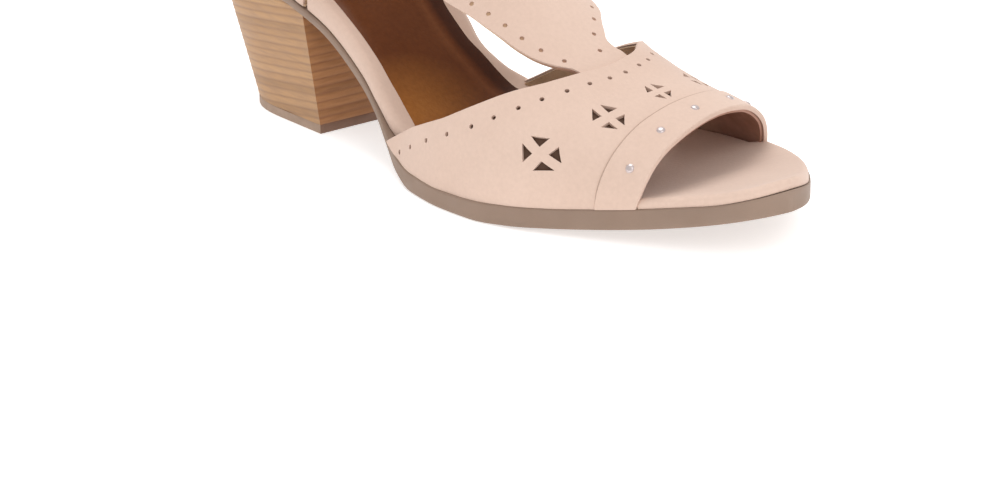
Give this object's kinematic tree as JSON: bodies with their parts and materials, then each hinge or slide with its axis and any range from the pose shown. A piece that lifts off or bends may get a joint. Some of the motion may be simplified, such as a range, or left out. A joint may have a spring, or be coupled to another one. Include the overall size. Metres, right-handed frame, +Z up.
{
  "type": "peep toe ankle boot",
  "caption": "Right-foot peep toe ankle boot in pale nude leather: strap over the instep, cut-out crosses on the vamp, brown lining, wrapped footbed and stacked block heel.",
  "frame": {"origin": "on the floor, under the middle of the sole's outline", "axes": "+X from the heel to the toe, +Y from the outer to the inner side of the foot, +Z up"},
  "size_m": [0.2362, 0.0952, 0.1261],
  "materials": {
    "outsole_rubber": "matt taupe",
    "stacked_leather": "satin tan, layered",
    "lift_rubber": "matt dark brown",
    "nude_leather": "soft matt nap",
    "brown_leather": "glossy brown",
    "stud_metal": "polished"
  },
  "bodies": {
    "root": {"outsole": "outsole_rubber", "heel_stack": "stacked_leather", "heel_top_lift": "lift_rubber", "footbed": "nude_leather", "insole_sock": "brown_leather", "upper": "nude_leather", "stud_1": "stud_metal", "stud_2": "stud_metal", "stud_3": "stud_metal", "stud_4": "stud_metal", "stud_5": "stud_metal", "stud_6": "stud_metal"}
  },
  "joints": []
}
